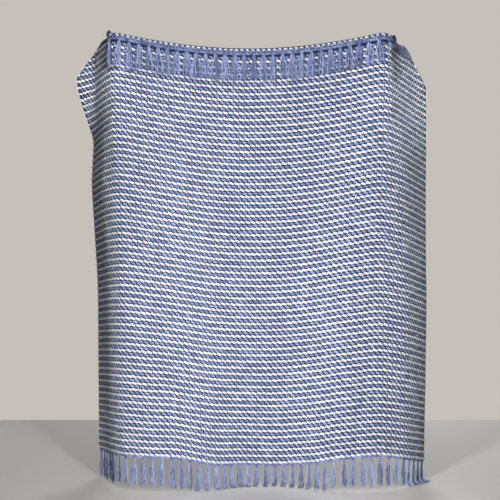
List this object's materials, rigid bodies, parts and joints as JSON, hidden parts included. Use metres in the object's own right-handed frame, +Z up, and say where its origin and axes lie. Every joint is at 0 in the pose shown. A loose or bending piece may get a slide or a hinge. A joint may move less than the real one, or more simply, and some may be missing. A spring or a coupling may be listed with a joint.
{
  "type": "fringed woven throw blanket",
  "caption": "Woven bobble throw held up by its turned top hem, hanging in soft vertical folds, with knotted tassels along both hems.",
  "frame": {"origin": "the middle of the fold along the top, midway between the two places that hold it", "axes": "+X to the right along the top fold, +Y to the back, +Z up; the throw hangs down -Z and its front faces -Y"},
  "size_m": [1.1396, 0.2474, 1.4189],
  "materials": {
    "woven_cotton": "matt blue woven cotton with rows of plump white bobbles",
    "fringe_yarn": "matt loose blue cotton yarn"
  },
  "bodies": {
    "root": {"cloth": "woven_cotton", "fringe_bottom": "fringe_yarn", "fringe_top": "fringe_yarn", "fringe_top_left": "fringe_yarn", "fringe_top_right": "fringe_yarn"}
  },
  "joints": []
}
